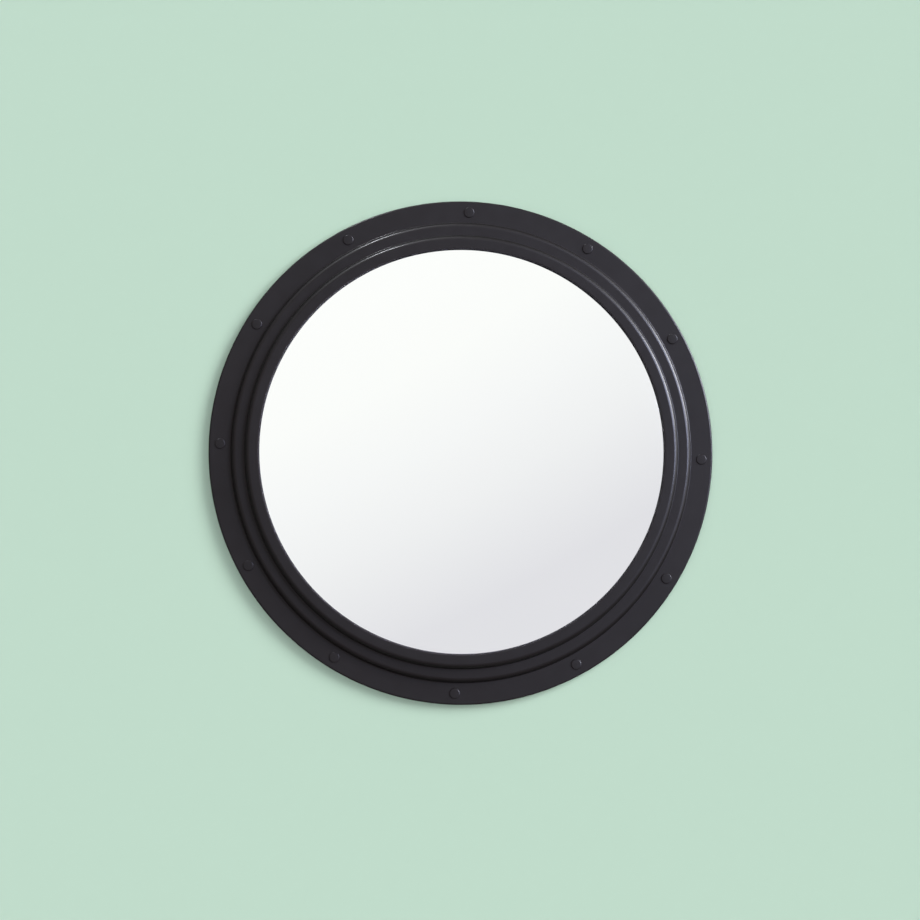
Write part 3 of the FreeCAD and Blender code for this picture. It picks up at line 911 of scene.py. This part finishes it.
def makeHangers():
    for side in ("left", "right"):
        joint = next(each for each in frame["joints"] if each["name"] == f"d_ring_{side}_hinge")
        across, barBack, barRise = joint["pos_m"]
        strap = makeStrap(side, joint)
        placed(strap, (across, 0, barRise), (math.radians(90), 0, 0))
        smoothed(strap)
        dressed(strap, f"hanger_plate_{side}", "mirror", "nickel_plate", nickelPlate)
        wire = makeWire(side)
        placed(wire, (across, barBack, barRise), (math.radians(90 + hanger["ringLean"]), 0, 0))
        smoothed(wire)
        dressed(wire, f"d_ring_{side}", f"ring_{side}", "nickel_wire", nickelWire)


makeHangers()
print("hangers bent")


# What stays inside keeps its shape and gets its finish.
insideFinishes = {"edge_gasket": gasketRubber, "support_ring": fibreboard, "foam_ring": foamCells}
for node, material in insideFinishes.items():
    inside = frame["nodes"][node]
    inside.data.materials.clear()
    inside.data.materials.append(material)


# The wall, with a hole that the mirror hides, and a back that can be seen through.
room = {
    "wallSides": 128,
    "wallReach": 6.0,
    "wallHole": 0.288,
    "wallColour": (0.533, 0.716, 0.597),
    "lampDistance": 3,
    "glow": 1.04,
    "glowSide": 0.12,
    "glowEdge": (0.62, 0.90),
    "glossEdge": (0.30, 0.62),
    "glowTowards": (-0.483, -0.259, 0.8365),
    "glowTones": (
        (0.0, (0.748, 0.745, 0.778)),
        (0.20, (0.860, 0.866, 0.874)),
        (0.33, (0.916, 0.925, 0.924)),
        (0.46, (0.963, 0.972, 0.954)),
        (0.60, (0.977, 0.984, 0.967)),
    ),
}


def makeWall():
    piece = turned("wall", room["wallSides"], [(room["wallHole"], 0), (room["wallReach"], 0)])
    startEdit(piece, "FACE")
    bpy.ops.mesh.select_all(action="SELECT")
    bpy.ops.mesh.flip_normals()
    endEdit()
    hung(piece)
    material, tree, shader, _ = startMaterial("wallPaint", Roughness=0.9, Specular_IOR_Level=0.0)
    shader.inputs["Base Color"].default_value = (*room["wallColour"], 1)
    clear = addNode(tree, "BsdfTransparent").outputs[0]
    fromBehind = addNode(tree, "NewGeometry").outputs["Backfacing"]
    seen = addNode(tree, "MixShader", {0: fromBehind, 1: shader.outputs[0], 2: clear})
    tree.links.new(seen.outputs[0], tree.nodes["Material Output"].inputs["Surface"])
    piece.data.materials.append(material)


# Each lamp's place is its angle off the mirror's axis and its turn round it, counted up from +x.
# A lamp in front stands at under 90 degrees off the axis. Some lamps are kept from the glossy or
# from the diffuse part of a surface.
lamps = {
    "key": {"strength": 2.23, "size": 36, "off": 53, "turn": 31},
    "frontFill": {"strength": 0.425, "size": 20, "off": 8, "turn": 200,
                  "glossy": False},
    "windowGloss": {"strength": 16.5, "size": 24, "off": 72, "turn": 24,
                    "colour": (0.91, 0.92, 1.0), "diffuse": False},
    "lowGloss": {"strength": 4.5, "size": 26, "off": 91, "turn": 35,
                 "colour": (0.86, 0.88, 1.0), "diffuse": False},
    "sideGloss": {"strength": 10.5, "size": 28, "off": 42, "turn": 20,
                  "colour": (0.62, 0.69, 1.0), "diffuse": False},
    "upperGloss": {"strength": 7.0, "size": 8, "off": 69, "turn": 109,
                   "colour": (0.90, 0.93, 1.0), "diffuse": False},
    "backKey": {"strength": 2.3, "size": 30, "off": 140, "turn": 120},
    "backFill": {"strength": 0.5, "size": 60, "off": 150, "turn": -30},
}


def makeLamp(name, lamp):
    off, turn = math.radians(lamp["off"]), math.radians(lamp["turn"])
    towards = Vector((math.sin(off) * math.cos(turn), -math.cos(off), math.sin(off) * math.sin(turn)))
    deselectAll()
    bpy.ops.object.light_add(type="SUN", location=towards * room["lampDistance"],
                             rotation=towards.to_track_quat("Z", "Y").to_euler())
    light = named(bpy.context.object, name)
    light.data.energy = lamp["strength"]
    light.data.angle = math.radians(lamp["size"])
    light.data.color = lamp.get("colour", (1, 1, 1))
    light.visible_diffuse = lamp.get("diffuse", True)
    light.visible_glossy = lamp.get("glossy", True)


def makeGlow():
    # a pale room, whitest up to the left in front of the mirror, and dimmer to the sides;
    # glossy rays see it bright further round than diffuse rays do, and the camera sees the
    # wall's colour
    world = bpy.data.worlds.new("room")
    bpy.context.scene.world = world
    world.use_nodes = True
    tree = world.node_tree
    background = tree.nodes["Background"]
    direction = addNode(tree, "TexCoord").outputs["Generated"]
    lean = addNode(tree, "VectorMath", {0: direction, 1: room["glowTowards"]}, operation="DOT_PRODUCT")
    tone = tones(tree, lean.outputs["Value"], *room["glowTones"])
    front = addNode(tree, "VectorMath", {0: direction, 1: (0, -1, 0)}, operation="DOT_PRODUCT")
    ray = addNode(tree, "LightPath").outputs
    full, dim = room["glow"], room["glow"] * room["glowSide"]
    levels = []
    for low, high in (room["glowEdge"], room["glossEdge"]):
        level = addNode(tree, "MapRange", {"Value": front.outputs["Value"], "From Min": low,
                                           "From Max": high, "To Min": dim, "To Max": full},
                        interpolation_type="SMOOTHSTEP")
        lit = addNode(tree, "Background", {"Color": tone, "Strength": level.outputs["Result"]})
        levels.append(lit.outputs[0])
    glow = addNode(tree, "MixShader", {0: ray["Is Glossy Ray"], 1: levels[0], 2: levels[1]})
    background.inputs["Color"].default_value = (*room["wallColour"], 1)
    seen = addNode(tree, "MixShader", {0: ray["Is Camera Ray"], 1: glow.outputs[0],
                                       2: background.outputs[0]})
    tree.links.new(seen.outputs[0], tree.nodes["World Output"].inputs["Surface"])


camera = {
    "place": (-0.133, -2.8, -0.176),
    "target": (-0.0019, -0.0135, -0.0102),
    "roll": 1.73,
    "lens": 92.03,
    "farthest": 50,
}


def makeCamera():
    place, target = Vector(camera["place"]), Vector(camera["target"])
    deselectAll()
    bpy.ops.object.camera_add(location=place)
    eye = named(bpy.context.object, "camera")
    eye.rotation_mode = "QUATERNION"
    level = (target - place).to_track_quat("-Z", "Y").to_matrix()
    roll = Matrix.Rotation(math.radians(camera["roll"]), 3, "Z")
    eye.rotation_quaternion = (level @ roll).to_quaternion()
    eye.data.lens = camera["lens"]
    eye.data.clip_end = camera["farthest"]
    bpy.context.scene.camera = eye


makeWall()
for name, lamp in lamps.items():
    makeLamp(name, lamp)
makeGlow()
makeCamera()
bpy.context.scene.view_settings.view_transform = "Standard"
print("stage set")

deselectAll()
